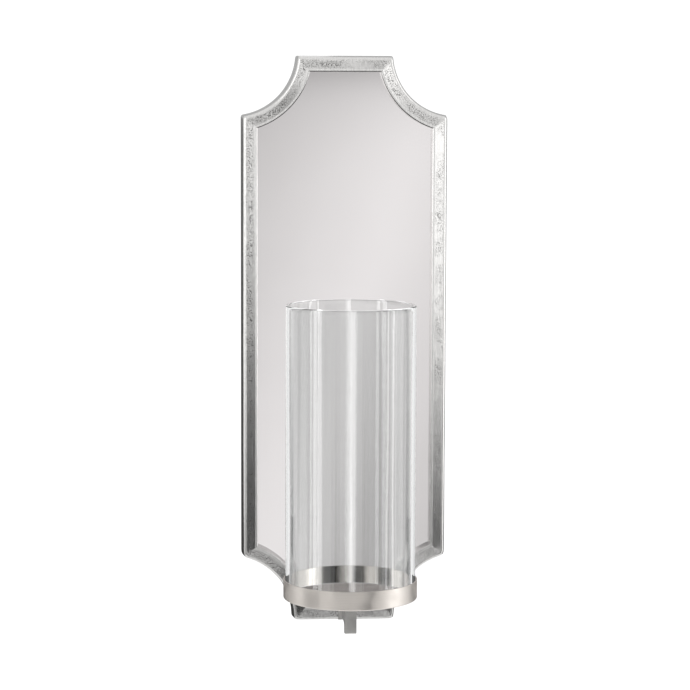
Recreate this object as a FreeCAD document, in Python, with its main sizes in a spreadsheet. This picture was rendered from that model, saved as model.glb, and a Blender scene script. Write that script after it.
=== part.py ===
import FreeCAD, Part
import math
import os
import Sketcher
from FreeCAD import Placement, Rotation, Vector

# A wall sconce: a tall silver frame with scooped corners holds a mirror; an arm on its bottom
# rail carries a pan, and a glass hurricane tube stands in the pan.
# Axes: +X right, -Y out of the wall towards the room, +Z up, in millimetres.
# Origin: on the wall plane, midway between the points where two wall hooks carry the hanger rings.
# "Depth" is the distance in front of the wall plane, and "height" is above the frame's bottom edge.

SIZES = {
    # frame outline, as seen from the room
    "frame_width": 165.0,
    "frame_height": 455.0,
    "top_notch_radius": 50.0,
    "top_notch_out": 6.5,
    "top_notch_up": 2.6,
    "bottom_notch_radius": 52.0,
    "bottom_notch_out": 11.2,
    "bottom_notch_up": 1.7,
    "corner_radius": 2.4,
    "top_tip_radius": 1.0,
    # frame section, from the outer edge inwards
    "frame_depth": 18.0,
    "draft_depth": 15.0,
    "draft_inset": 1.2,
    "ridge_inset": 3.6,
    "face_inset": 11.6,
    "face_drop": 1.5,
    "rail_width": 13.0,
    "lip_drop": 2.3,
    "rebate_inset": 9.0,
    # what lies in the rebate
    "mirror_thickness": 3.0,
    "pad_thickness": 1.0,
    "board_thickness": 4.5,
    "edge_gap": 0.5,
    # wall side
    "bumper_height": 4.0,
    "bumper_radius": 4.0,
    "bumper_crown_radius": 3.4,
    "bumper_inset": 4.5,
    "hook_height": 368.6,
    # turn buttons that hold the board
    "button_thickness": 1.2,
    "button_radius": 4.0,
    "button_reach": 10.0,
    "button_gap": 0.2,
    "button_inset": 4.5,
    "button_first": 100.0,
    "button_spacing": 130.0,
    "button_screw_radius": 1.7,
    "button_screw_length": 11.0,
    "button_head_radius": 3.0,
    "button_head_height": 1.2,
    # hangers: a strap and a ring each
    "hanger_spacing": 90.0,
    "strap_width": 9.0,
    "strap_length": 24.0,
    "strap_thickness": 0.7,
    "ring_wire_radius": 0.9,
    "ring_half_width": 7.5,
    "ring_corner_radius": 2.0,
    "ring_side": 1.0,
    "strap_screw_drop": 14.6,
    "strap_screw_pitch": 6.0,
    "strap_screw_radius": 1.2,
    "strap_screw_length": 4.6,
    "strap_head_radius": 2.3,
    "strap_head_height": 1.0,
    # arm
    "arm_width": 9.4,
    "arm_top": 34.2,
    "arm_underside": 13.5,
    "arm_seat_depth": 20.0,
    "arm_front_depth": 91.0,
    "arm_leg": 4.0,
    "arm_rear_foot": 2.0,
    "arm_front_foot": 5.7,
    "arm_inner_radius": 3.0,
    "arm_edge_radius": 0.8,
    "arm_screw_height": 5.0,
    "arm_screw_radius": 2.0,
    "arm_screw_length": 19.5,
    "arm_head_radius": 3.5,
    "arm_head_height": 2.4,
    # pan
    "pan_reach": 86.0,
    "pan_radius": 52.2,
    "pan_wall": 1.0,
    "pan_height": 14.7,
    "pan_floor": 1.0,
    "pan_edge_radius": 0.9,
    "dimple_radius": 3.8,
    "dimple_hole_radius": 2.15,
    "pan_screw_radius": 2.0,
    "pan_screw_length": 11.0,
    # hurricane glass
    "glass_radius": 50.8,
    "glass_wall": 2.6,
    "glass_height": 228.3,
    # clearances
    "thread_gap": 0.05,
    "slip_gap": 0.08,
    "clear_gap": 0.15,
}

BUTTON_ROWS = 3
SIDES = {"left": -1, "right": 1}
RECESS_WIDTH = 0.8

doc = FreeCAD.newDocument("wall_sconce")
sizes = doc.addObject("Spreadsheet::Sheet", "sizes")
for row, (alias, value) in enumerate(SIZES.items(), start=1):
    sizes.set(f"A{row}", alias)
    sizes.set(f"B{row}", str(value))
    sizes.setAlias(f"B{row}", alias)
doc.recompute()

REBATE_DEPTH = "(sizes.mirror_thickness + sizes.pad_thickness + sizes.board_thickness)"
CURL_RADIUS = "(sizes.ring_wire_radius + sizes.thread_gap + sizes.strap_thickness)"
CURL_HEIGHT = "(sizes.hook_height - sizes.ring_half_width - sizes.ring_corner_radius" \
              " - sizes.ring_side + sizes.ring_wire_radius)"
DIMPLE_STEP = "sizes.pan_floor * sqrt(2)"
SINK_RADIUS = f"(sizes.dimple_radius - sizes.pan_floor + {DIMPLE_STEP} + sizes.thread_gap)"


def origin_plane(body, role):
    """One of a body's own origin planes."""
    return next(feature for feature in body.Origin.OriginFeatures if feature.Role == role)


def bind(thing, **expressions):
    """Bind properties to sheet expressions; a dot in a property's path is written as __."""
    for path, expression in expressions.items():
        thing.setExpression(path.replace("__", "."), expression)


def new_body(label):
    body = doc.addObject("PartDesign::Body", label)
    body.Label = label
    return body


def new_sketch(body, name, plane="XZ_Plane", offset="0"):
    """A sketch parallel to an origin plane of its body, an offset along that plane's normal."""
    sketch = body.newObject("Sketcher::SketchObject", name)
    sketch.AttachmentSupport = [(origin_plane(body, plane), "")]
    sketch.MapMode = "FlatFace"
    bind(sketch, AttachmentOffset__Base__z=offset)
    return sketch


def pin(sketch, kind, *where, value, start=1.0):
    """Add a dimension to a sketch and bind it to an expression; start is its first value."""
    index = sketch.addConstraint(Sketcher.Constraint(kind, *where, start))
    sketch.renameConstraint(index, f"size_{index}")
    sketch.setExpression(f"Constraints.size_{index}", value)


def polygon(sketch, corners):
    """A closed polygon whose corners are pairs of expressions."""
    count = len(corners)
    for index in range(count):
        start = 2 * math.pi * index / count
        end = 2 * math.pi * (index + 1) / count
        sketch.addGeometry(Part.LineSegment(
            Vector(math.cos(start), math.sin(start), 0),
            Vector(math.cos(end), math.sin(end), 0)))
    for index, (across, up) in enumerate(corners):
        previous = (index - 1) % count
        sketch.addConstraint(Sketcher.Constraint("Coincident", previous, 2, index, 1))
        pin(sketch, "DistanceX", -1, 1, index, 1, value=across)
        pin(sketch, "DistanceY", -1, 1, index, 1, value=up)


def circle(sketch, across, up, radius):
    """A circle whose centre and radius are expressions."""
    index = sketch.addGeometry(Part.Circle(Vector(0, 0, 0), Vector(0, 0, 1), 1.0))
    pin(sketch, "DistanceX", -1, 1, index, 3, value=across)
    pin(sketch, "DistanceY", -1, 1, index, 3, value=up)
    pin(sketch, "Radius", index, value=radius)


def rectangle(sketch, left, bottom, right, top):
    polygon(sketch, [(left, bottom), (right, bottom), (right, top), (left, top)])


def scooped_corners(inset):
    """Right-hand corners and scoop centres of the frame's outline, moved inwards by an inset."""
    half_width = SIZES["frame_width"] / 2
    edge = half_width - inset
    top_centre = Vector(half_width + SIZES["top_notch_out"],
                        SIZES["frame_height"] + SIZES["top_notch_up"], 0)
    bottom_centre = Vector(half_width + SIZES["bottom_notch_out"], SIZES["bottom_notch_up"], 0)
    top_radius = SIZES["top_notch_radius"] + inset
    bottom_radius = SIZES["bottom_notch_radius"] + inset
    top_edge = SIZES["frame_height"] - inset

    def reach(radius, offset):
        return math.sqrt(radius ** 2 - offset ** 2)

    return {
        "top_centre": top_centre,
        "bottom_centre": bottom_centre,
        "top_tip": Vector(edge, top_centre.y - reach(top_radius, top_centre.x - edge), 0),
        "top_end": Vector(top_centre.x - reach(top_radius, top_centre.y - top_edge), top_edge, 0),
        "bottom_tip": Vector(edge, bottom_centre.y + reach(bottom_radius, bottom_centre.x - edge), 0),
        "bottom_end": Vector(bottom_centre.x - reach(bottom_radius, bottom_centre.y - inset), inset, 0),
    }


def mirrored(point):
    return Vector(-point.x, point.y, 0)


def scoop(centre, one, other):
    """The short arc about a centre between two points, and which end is the first point."""
    start, end = (math.atan2(p.y - centre.y, p.x - centre.x) for p in (one, other))
    full = 2 * math.pi
    first_is_start = (end - start) % full < math.pi
    if not first_is_start:
        start, end = end, start
    base = Part.Circle(centre, Vector(0, 0, 1), (one - centre).Length)
    return Part.ArcOfCircle(base, start, start + (end - start) % full), first_is_start


def outline(body, name, inset, depth, value):
    """The frame's scooped outline as a sketch, moved inwards by an inset, at a depth.

    inset and depth are expressions, and value is the inset's number, for the first guess.
    """
    sketch = new_sketch(body, name, offset=depth)
    corners = scooped_corners(value)
    ring = [
        ("line", "bottom_tip", "top_tip", 1),
        ("top", "top_tip", "top_end", 1),
        ("line", "top_end", "top_end", 0),
        ("top", "top_end", "top_tip", -1),
        ("line", "top_tip", "bottom_tip", -1),
        ("bottom", "bottom_tip", "bottom_end", -1),
        ("line", "bottom_end", "bottom_end", 0),
        ("bottom", "bottom_end", "bottom_tip", 1),
    ]
    ends = []
    for index, (kind, first, last, side) in enumerate(ring):
        start, end = corners[first], corners[last]
        if side == -1:
            start, end = mirrored(start), mirrored(end)
        if side == 0:
            # the top edge runs right to left and the bottom edge left to right
            start, end = (start, mirrored(end)) if first == "top_end" else (mirrored(start), end)
        if kind == "line":
            sketch.addGeometry(Part.LineSegment(start, end))
            ends.append((1, 2))
        else:
            centre = corners[f"{kind}_centre"]
            arc, forward = scoop(mirrored(centre) if side == -1 else centre, start, end)
            sketch.addGeometry(arc)
            ends.append((1, 2) if forward else (2, 1))
    for index in range(len(ring)):
        following = (index + 1) % len(ring)
        sketch.addConstraint(Sketcher.Constraint(
            "Coincident", index, ends[index][1], following, ends[following][0]))
    right, top_right, top, top_left, left, bottom_left, bottom, bottom_right = range(len(ring))
    sketch.addConstraint(Sketcher.Constraint("Vertical", right))
    sketch.addConstraint(Sketcher.Constraint("Vertical", left))
    sketch.addConstraint(Sketcher.Constraint("Horizontal", top))
    sketch.addConstraint(Sketcher.Constraint("Horizontal", bottom))
    for one, other in ((top_left, top_right), (bottom_left, bottom_right)):
        sketch.addConstraint(Sketcher.Constraint("Symmetric", one, 3, other, 3, -2))
        sketch.addConstraint(Sketcher.Constraint("Equal", one, other))
    half = f"sizes.frame_width / 2 - ({inset})"
    edge = corners["top_tip"].x
    pin(sketch, "DistanceX", -1, 1, right, 1, value=half, start=edge)
    pin(sketch, "DistanceX", left, 1, -1, 1, value=half, start=edge)
    pin(sketch, "DistanceY", -1, 1, top, 1, value=f"sizes.frame_height - ({inset})",
        start=corners["top_end"].y)
    pin(sketch, "DistanceY", -1, 1, bottom, 1, value=inset, start=corners["bottom_end"].y)
    for arc, name, height in ((top_right, "top", "sizes.frame_height + sizes.top_notch_up"),
                              (bottom_right, "bottom", "sizes.bottom_notch_up")):
        centre = corners[f"{name}_centre"]
        pin(sketch, "DistanceX", -1, 1, arc, 3, start=centre.x,
            value=f"sizes.frame_width / 2 + sizes.{name}_notch_out")
        pin(sketch, "DistanceY", -1, 1, arc, 3, start=centre.y, value=height)
        pin(sketch, "Radius", arc, start=(corners[f"{name}_tip"] - centre).Length,
            value=f"sizes.{name}_notch_radius + ({inset})")
    return sketch


def loft(body, kind, name, first, second):
    """A ruled loft between two sketches; kind is AdditiveLoft or SubtractiveLoft."""
    feature = body.newObject(f"PartDesign::{kind}", name)
    feature.Profile = first
    feature.Sections = [second]
    feature.Ruled = True
    doc.recompute()
    return feature


def pad(body, name, sketch, length, reverse=False, both_ways=False):
    feature = body.newObject("PartDesign::Pad", name)
    feature.Profile = sketch
    feature.Reversed = reverse
    if both_ways:
        feature.SideType = "Symmetric"
    bind(feature, Length=length)
    doc.recompute()
    return feature


def pocket(body, name, sketch, length, reverse=False):
    """Cut a sketch away over a length, and make sure that something was cut."""
    before = body.Tip.Shape.Volume
    feature = body.newObject("PartDesign::Pocket", name)
    feature.Profile = sketch
    feature.Reversed = reverse
    bind(feature, Length=length)
    doc.recompute()
    if not feature.Shape.Volume < before:
        raise RuntimeError(f"{body.Label}: {name} cuts nothing")
    return feature


def turned(body, name, corners):
    """A solid of revolution about the body's Z axis, from a half profile."""
    sketch = new_sketch(body, f"{name}_profile")
    polygon(sketch, corners)
    feature = body.newObject("PartDesign::Revolution", name)
    feature.Profile = sketch
    feature.ReferenceAxis = (sketch, ["V_Axis"])
    feature.Angle = 360
    doc.recompute()
    return feature


def round_edges(body, name, radius, wanted):
    """Fillet the edges of the body's tip that the test picks."""
    tip = body.Tip
    names = [f"Edge{index}" for index, edge in enumerate(tip.Shape.Edges, start=1) if wanted(edge)]
    if not names:
        raise RuntimeError(f"{body.Label}: {name} finds no edge")
    feature = body.newObject("PartDesign::Fillet", name)
    feature.Base = (tip, names)
    bind(feature, Radius=radius)
    doc.recompute()
    return feature


def place(thing, across="0", depth="0", height="0"):
    """Place a sub-part by depth and height; the origin lies at the hook height on the wall."""
    bind(thing, Placement__Base__x=across, Placement__Base__y=f"-({depth})",
         Placement__Base__z=f"({height}) - sizes.hook_height")


def make_frame():
    """The cast frame: drafted sides, a bevel up to a ridge, a face sloping in, and a lip."""
    body = new_body("frame")
    back = "sizes.bumper_height"
    ridge = f"{back} + sizes.frame_depth"
    draft_edge = outline(body, "back_edge", "0", back, 0)
    bevel_foot = outline(body, "bevel_foot", "sizes.draft_inset", f"{back} + sizes.draft_depth",
                         SIZES["draft_inset"])
    ridge_line = outline(body, "ridge_line", "sizes.ridge_inset", ridge, SIZES["ridge_inset"])
    loft(body, "AdditiveLoft", "drafted_sides", draft_edge, bevel_foot)
    loft(body, "AdditiveLoft", "outer_bevel", bevel_foot, ridge_line)
    tip = scooped_corners(0)["top_tip"]
    tip_zone = SIZES["rail_width"]

    def corner_edge(edge):
        return edge.BoundBox.YLength > 1

    def top_tip_edge(edge):
        middle = edge.CenterOfMass
        return (corner_edge(edge) and abs(abs(middle.x) - tip.x) < tip_zone
                and abs(middle.z - tip.y) < tip_zone)

    round_edges(body, "outer_corners", "sizes.corner_radius",
                lambda edge: corner_edge(edge) and not top_tip_edge(edge))
    round_edges(body, "top_tips", "sizes.top_tip_radius", top_tip_edge)

    face_edge = outline(body, "face_edge", "sizes.face_inset", f"{ridge} - sizes.face_drop",
                        SIZES["face_inset"])
    loft(body, "SubtractiveLoft", "sloping_face", ridge_line, face_edge)
    lip_edge = outline(body, "lip_edge", "sizes.rail_width", f"{ridge} - sizes.lip_drop",
                       SIZES["rail_width"])
    loft(body, "SubtractiveLoft", "rounded_lip", face_edge, lip_edge)
    pocket(body, "opening", lip_edge, "sizes.frame_depth")

    rebate_edge = outline(body, "rebate_edge", "sizes.rebate_inset", f"{back} + {REBATE_DEPTH}",
                          SIZES["rebate_inset"])
    pocket(body, "rebate", rebate_edge, REBATE_DEPTH)

    seat = new_sketch(body, "arm_seat_outline", offset="sizes.arm_seat_depth")
    seat_half = "sizes.arm_width / 2 + sizes.slip_gap"
    rectangle(seat, f"-({seat_half})", "-1", seat_half, "sizes.rail_width + 1")
    pocket(body, "arm_seat", seat, f"{ridge} - sizes.arm_seat_depth + 1", reverse=True)

    arm_hole = new_sketch(body, "arm_hole_outline", offset=ridge)
    circle(arm_hole, "0", "sizes.arm_screw_height", "sizes.arm_screw_radius + sizes.clear_gap")
    pocket(body, "arm_hole", arm_hole, "sizes.frame_depth + 1")

    pilots = new_sketch(body, "pilot_outlines", offset=back)
    for side in SIDES.values():
        for row in range(BUTTON_ROWS):
            circle(pilots, button_across(side), button_height(row),
                   "sizes.button_screw_radius + sizes.thread_gap")
    pocket(body, "pilot_holes", pilots, "sizes.button_screw_length", reverse=True)
    place(body)
    return body


def button_across(side):
    return f"{side} * (sizes.frame_width / 2 - sizes.button_inset)"


def button_height(row):
    return f"sizes.button_first + {row} * sizes.button_spacing"


def make_sheet(label, thickness, depth, value):
    """A flat plate with the rebate's outline: the mirror, its pad or the board."""
    body = new_body(label)
    edge = outline(body, f"{label}_outline", "sizes.rebate_inset + sizes.edge_gap", depth, value)
    pad(body, f"{label}_plate", edge, thickness)
    place(body)
    return body


def make_board(depth, value):
    """The backing board, with pilot holes for the hanger screws."""
    body = make_sheet("backing_board", "sizes.board_thickness", depth, value)
    pilots = new_sketch(body, "strap_pilots", offset=depth)
    for side in SIDES.values():
        for row in range(2):
            circle(pilots, f"{side} * sizes.hanger_spacing / 2",
                   f"{CURL_HEIGHT} - sizes.strap_screw_drop - {row} * sizes.strap_screw_pitch",
                   "sizes.strap_screw_radius + sizes.thread_gap")
    pocket(body, "strap_pilot_holes", pilots, "sizes.strap_screw_length - sizes.strap_thickness",
           reverse=True)
    return body


def make_button(label, side, row):
    """A turn button: a flat bar with round ends that swings about its screw."""
    body = new_body(label)
    sketch = new_sketch(body, f"{label}_outline")
    radius = SIZES["button_radius"]
    reach = SIZES["button_reach"]
    up = Vector(0, 0, 1)
    near = sketch.addGeometry(Part.ArcOfCircle(
        Part.Circle(Vector(0, 0, 0), up, radius), math.pi / 2, 3 * math.pi / 2))
    far = sketch.addGeometry(Part.ArcOfCircle(
        Part.Circle(Vector(reach, 0, 0), up, radius), -math.pi / 2, math.pi / 2))
    low = sketch.addGeometry(Part.LineSegment(Vector(0, -radius, 0), Vector(reach, -radius, 0)))
    high = sketch.addGeometry(Part.LineSegment(Vector(reach, radius, 0), Vector(0, radius, 0)))
    for one, its_end, other, other_end in ((near, 2, low, 1), (low, 2, far, 1),
                                           (far, 2, high, 1), (high, 2, near, 1)):
        sketch.addConstraint(Sketcher.Constraint("Tangent", one, its_end, other, other_end))
    sketch.addConstraint(Sketcher.Constraint("Coincident", near, 3, -1, 1))
    sketch.addConstraint(Sketcher.Constraint("Horizontal", low))
    pin(sketch, "DistanceX", -1, 1, far, 3, value="sizes.button_reach", start=reach)
    pin(sketch, "Radius", near, value="sizes.button_radius", start=radius)
    pad(body, f"{label}_plate", sketch, "sizes.button_thickness", reverse=True)
    hole = new_sketch(body, f"{label}_hole_outline")
    circle(hole, "0", "0", "sizes.button_screw_radius + sizes.slip_gap")
    pocket(body, f"{label}_hole", hole, "sizes.button_thickness")
    place(body, button_across(side), "sizes.bumper_height - sizes.button_gap", button_height(row))
    if side == SIDES["right"]:
        body.Placement.Rotation = Rotation(Vector(0, 1, 0), 180)
    return body


def make_screw(label, radius, length, head_radius, head_height):
    """A round-head screw along +Y from under its head, with a cross recess facing the wall."""
    along = Rotation(Vector(1, 0, 0), -90)
    shank = doc.addObject("Part::Cylinder", f"{label}_shank")
    bind(shank, Radius=radius, Height=length)
    shank.Placement = Placement(Vector(0, 0, 0), Rotation(Vector(1, 0, 0), 90))
    head = doc.addObject("Part::Cone", f"{label}_head")
    bind(head, Radius1=head_radius, Radius2=f"{head_radius} * 0.8", Height=head_height)
    head.Placement = Placement(Vector(0, 0, 0), along)
    blank = doc.addObject("Part::Fuse", f"{label}_blank")
    blank.Base = shank
    blank.Tool = head
    half_reach = f"{head_radius} * 0.55"
    half_recess = f"{RECESS_WIDTH} / 2"
    slots = []
    for turn, across, up in ((0, f"-{half_reach}", f"-{half_recess}"),
                             (90, f"-{half_recess}", half_reach)):
        slot = doc.addObject("Part::Box", f"{label}_slot_{turn}")
        bind(slot, Length=f"2 * {half_reach}", Width=f"{head_height} * 0.5",
             Height=str(RECESS_WIDTH), Placement__Base__x=across,
             Placement__Base__y=f"{head_height} * 0.5", Placement__Base__z=up)
        slot.Placement.Rotation = Rotation(Vector(0, 1, 0), turn)
        slots.append(slot)
    recess = doc.addObject("Part::Fuse", f"{label}_recess")
    recess.Base, recess.Tool = slots
    screw = doc.addObject("Part::Cut", label)
    screw.Base = blank
    screw.Tool = recess
    return screw


def group(label, members):
    """Identical pieces that share one node as separate solids."""
    compound = doc.addObject("Part::Compound", label)
    compound.Label = label
    compound.Links = members
    return compound


def make_button_screws():
    screws = []
    for side in SIDES.values():
        for row in range(BUTTON_ROWS):
            screw = make_screw(f"button_screw_{len(screws)}", "sizes.button_screw_radius",
                               "sizes.button_screw_length", "sizes.button_head_radius",
                               "sizes.button_head_height")
            place(screw, button_across(side),
                  "sizes.bumper_height - 2 * sizes.button_gap - sizes.button_thickness",
                  button_height(row))
            screws.append(screw)
    return group("button_screws", screws)


def make_strap(label, side):
    """A hanger strap: a flat plate whose top end curls round the ring's bar."""
    body = new_body(label)
    width = "sizes.strap_width"
    plate = new_sketch(body, f"{label}_plate_profile", plane="YZ_Plane")
    rectangle(plate, f"-{CURL_RADIUS}", "-sizes.strap_length",
              f"sizes.strap_thickness - {CURL_RADIUS}", "0")
    pad(body, f"{label}_plate", plate, width, both_ways=True)
    curl = new_sketch(body, f"{label}_curl_profile", plane="YZ_Plane")
    circle(curl, "0", "0", CURL_RADIUS)
    pad(body, f"{label}_curl", curl, width, both_ways=True)
    bore = new_sketch(body, f"{label}_bore_profile", plane="YZ_Plane", offset=width)
    circle(bore, "0", "0", "sizes.ring_wire_radius + sizes.thread_gap")
    pocket(body, f"{label}_bore", bore, f"2 * {width}")
    holes = new_sketch(body, f"{label}_hole_outlines", offset=CURL_RADIUS)
    for row in range(2):
        circle(holes, "0", f"-sizes.strap_screw_drop - {row} * sizes.strap_screw_pitch",
               "sizes.strap_screw_radius + sizes.clear_gap")
    pocket(body, f"{label}_holes", holes, f"2 * {CURL_RADIUS}")
    place(body, f"{side} * sizes.hanger_spacing / 2", f"sizes.bumper_height - {CURL_RADIUS}",
          CURL_HEIGHT)
    return body


def make_ring(label, side):
    """A D-ring of round wire: its bar lies in the strap's curl and its loop hangs below."""
    body = new_body(label)
    half = SIZES["ring_half_width"]
    corner = SIZES["ring_corner_radius"]
    drop = corner + SIZES["ring_side"]
    path = new_sketch(body, f"{label}_path")
    up = Vector(0, 0, 1)

    def arc(across, height, radius, start, end):
        circle_base = Part.Circle(Vector(across, height, 0), up, radius)
        return path.addGeometry(Part.ArcOfCircle(circle_base, math.radians(start), math.radians(end)))

    def line(x1, y1, x2, y2):
        return path.addGeometry(Part.LineSegment(Vector(x1, y1, 0), Vector(x2, y2, 0)))

    bar = line(corner - half, 0, half - corner, 0)
    right_corner = arc(half - corner, -corner, corner, 0, 90)
    right_side = line(half, -corner, half, -drop)
    bow = arc(0, -drop, half, 180, 360)
    left_side = line(-half, -drop, -half, -corner)
    left_corner = arc(corner - half, -corner, corner, 90, 180)
    for one, its_end, other, other_end in (
            (bar, 2, right_corner, 2), (right_corner, 1, right_side, 1), (right_side, 2, bow, 2),
            (bow, 1, left_side, 1), (left_side, 2, left_corner, 2), (left_corner, 1, bar, 1)):
        path.addConstraint(Sketcher.Constraint("Tangent", one, its_end, other, other_end))
    path.addConstraint(Sketcher.Constraint("Horizontal", bar))
    path.addConstraint(Sketcher.Constraint("Equal", left_corner, right_corner))
    path.addConstraint(Sketcher.Constraint("Vertical", right_side))
    pin(path, "DistanceX", -1, 1, bow, 3, value="0", start=0)
    pin(path, "DistanceY", -1, 1, bar, 1, value="0", start=0)
    pin(path, "Radius", right_corner, value="sizes.ring_corner_radius", start=corner)
    pin(path, "Radius", bow, value="sizes.ring_half_width", start=half)
    pin(path, "DistanceY", right_side, 2, right_side, 1, value="sizes.ring_side",
        start=SIZES["ring_side"])
    wire_end = new_sketch(body, f"{label}_wire", plane="YZ_Plane")
    circle(wire_end, "0", "0", "sizes.ring_wire_radius")
    doc.recompute()
    pipe = body.newObject("PartDesign::AdditivePipe", f"{label}_pipe")
    pipe.Profile = wire_end
    pipe.Spine = (path, [f"Edge{index}" for index in range(1, 7)])
    doc.recompute()
    place(body, f"{side} * sizes.hanger_spacing / 2", f"sizes.bumper_height - {CURL_RADIUS}",
          CURL_HEIGHT)
    return body


def make_hanger_screws():
    screws = []
    for side in SIDES.values():
        for row in range(2):
            screw = make_screw(f"hanger_screw_{len(screws)}", "sizes.strap_screw_radius",
                               "sizes.strap_screw_length", "sizes.strap_head_radius",
                               "sizes.strap_head_height")
            place(screw, f"{side} * sizes.hanger_spacing / 2",
                  "sizes.bumper_height - sizes.strap_thickness",
                  f"{CURL_HEIGHT} - sizes.strap_screw_drop - {row} * sizes.strap_screw_pitch")
            screws.append(screw)
    return group("hanger_screws", screws)


def make_bumpers():
    """Rubber bumpers on the frame's back, one near each end of both side rails."""
    bumpers = []
    for side in SIDES.values():
        for height in ("sizes.button_first - 30",
                       f"sizes.button_first + {BUTTON_ROWS - 1} * sizes.button_spacing + 30"):
            bumper = doc.addObject("Part::Cone", f"bumper_{len(bumpers)}")
            bind(bumper, Radius1="sizes.bumper_radius", Radius2="sizes.bumper_crown_radius",
                 Height="sizes.bumper_height")
            bumper.Placement.Rotation = Rotation(Vector(1, 0, 0), -90)
            place(bumper, f"{side} * (sizes.frame_width / 2 - sizes.bumper_inset)",
                  "sizes.bumper_height", height)
            bumpers.append(bumper)
    return group("wall_bumpers", bumpers)


def make_arm():
    """The cast arm: a web under the pan, a rear leg on the bottom rail and a front drop."""
    body = new_body("arm")
    side_view = new_sketch(body, "arm_side_view", plane="YZ_Plane")
    front, seat = "-sizes.arm_front_depth", "-sizes.arm_seat_depth"
    front_leg, rear_leg = f"{front} + sizes.arm_leg", f"{seat} - sizes.arm_leg"
    polygon(side_view, [
        (seat, "sizes.arm_rear_foot"), (seat, "sizes.arm_top"), (front, "sizes.arm_top"),
        (front, "sizes.arm_front_foot"), (front_leg, "sizes.arm_front_foot"),
        (front_leg, "sizes.arm_underside"), (rear_leg, "sizes.arm_underside"),
        (rear_leg, "sizes.arm_rear_foot"),
    ])
    pad(body, "arm_blank", side_view, "sizes.arm_width", both_ways=True)
    half = SIZES["arm_width"] / 2

    def inner_corner(edge):
        middle = edge.CenterOfMass
        return (abs(middle.x) < half / 2 and edge.Length > half
                and abs(middle.z - SIZES["arm_underside"]) < 0.1)

    def drop_edge(edge):
        middle = edge.CenterOfMass
        return (middle.y < SIZES["arm_leg"] - SIZES["arm_front_depth"] + 0.1
                and middle.z < SIZES["arm_front_foot"] + 0.1)

    round_edges(body, "arm_inner_corners", "sizes.arm_inner_radius", inner_corner)
    round_edges(body, "arm_drop_edges", "sizes.arm_edge_radius", drop_edge)

    tapped = new_sketch(body, "pan_screw_outline", plane="XY_Plane", offset="sizes.arm_top")
    circle(tapped, "0", "-sizes.pan_reach", "sizes.pan_screw_radius + sizes.thread_gap")
    pocket(body, "pan_screw_hole", tapped, "sizes.pan_screw_length")
    before = body.Tip.Shape.Volume
    sink = body.newObject("PartDesign::SubtractiveCone", "dimple_sink")
    bind(sink, Radius1="sizes.pan_screw_radius + sizes.thread_gap", Radius2=SINK_RADIUS,
         Height=f"{SINK_RADIUS} - sizes.pan_screw_radius - sizes.thread_gap",
         Placement__Base__y="-sizes.pan_reach",
         Placement__Base__z=f"sizes.arm_top - {SINK_RADIUS} + sizes.pan_screw_radius"
                            " + sizes.thread_gap")
    doc.recompute()
    if not sink.Shape.Volume < before:
        raise RuntimeError("arm: dimple_sink cuts nothing")

    rear_hole = new_sketch(body, "arm_screw_outline", offset="sizes.arm_seat_depth")
    circle(rear_hole, "0", "sizes.arm_screw_height", "sizes.arm_screw_radius + sizes.thread_gap")
    pocket(body, "arm_screw_hole", rear_hole, "sizes.arm_leg", reverse=True)
    place(body)
    return body


def make_arm_screw():
    screw = make_screw("arm_screw", "sizes.arm_screw_radius", "sizes.arm_screw_length",
                       "sizes.arm_head_radius", "sizes.arm_head_height")
    place(screw, "0", "sizes.bumper_height", "sizes.arm_screw_height")
    return screw


def make_pan():
    """The pressed pan: a flat floor with a straight wall, and a dimple for a flush screw."""
    body = new_body("pan")
    hole = "sizes.dimple_hole_radius"
    fall = f"sizes.dimple_radius - {hole}"
    turned(body, "pan_shell", [
        ("sizes.pan_radius", "0"),
        ("sizes.pan_radius", "sizes.pan_height"),
        ("sizes.pan_radius - sizes.pan_wall", "sizes.pan_height"),
        ("sizes.pan_radius - sizes.pan_wall", "sizes.pan_floor"),
        ("sizes.dimple_radius", "sizes.pan_floor"),
        (hole, f"sizes.pan_floor - ({fall})"),
        (hole, f"sizes.pan_floor - ({fall}) - {DIMPLE_STEP}"),
        (f"sizes.dimple_radius - sizes.pan_floor + {DIMPLE_STEP}", "0"),
    ])
    radius = SIZES["pan_radius"]
    round_edges(body, "pan_foot", "sizes.pan_edge_radius",
                lambda edge: edge.Length > 2 * math.pi * radius - 1 and edge.CenterOfMass.z < 1)
    place(body, "0", "sizes.pan_reach", "sizes.arm_top")
    return body


def make_pan_screw():
    """A countersunk screw: its head lies flush in the pan's dimple."""
    body = new_body("pan_screw")
    head = "(sizes.dimple_radius - sizes.thread_gap)"
    shank = "sizes.pan_screw_radius"
    turned(body, "pan_screw_blank", [
        ("0", "0"),
        (head, "0"),
        (shank, f"{shank} - {head}"),
        (shank, "-sizes.pan_screw_length"),
        ("0", "-sizes.pan_screw_length"),
    ])
    for turn, (across, along) in enumerate((("1.1", "0.2"), ("0.2", "1.1"))):
        slot = new_sketch(body, f"recess_{turn}", plane="XY_Plane")
        rectangle(slot, f"-{head} * {across} / 2", f"-{head} * {along} / 2",
                  f"{head} * {across} / 2", f"{head} * {along} / 2")
        pocket(body, f"recess_cut_{turn}", slot, "sizes.pan_wall")
    place(body, "0", "sizes.pan_reach", "sizes.arm_top + sizes.pan_floor")
    return body


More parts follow.
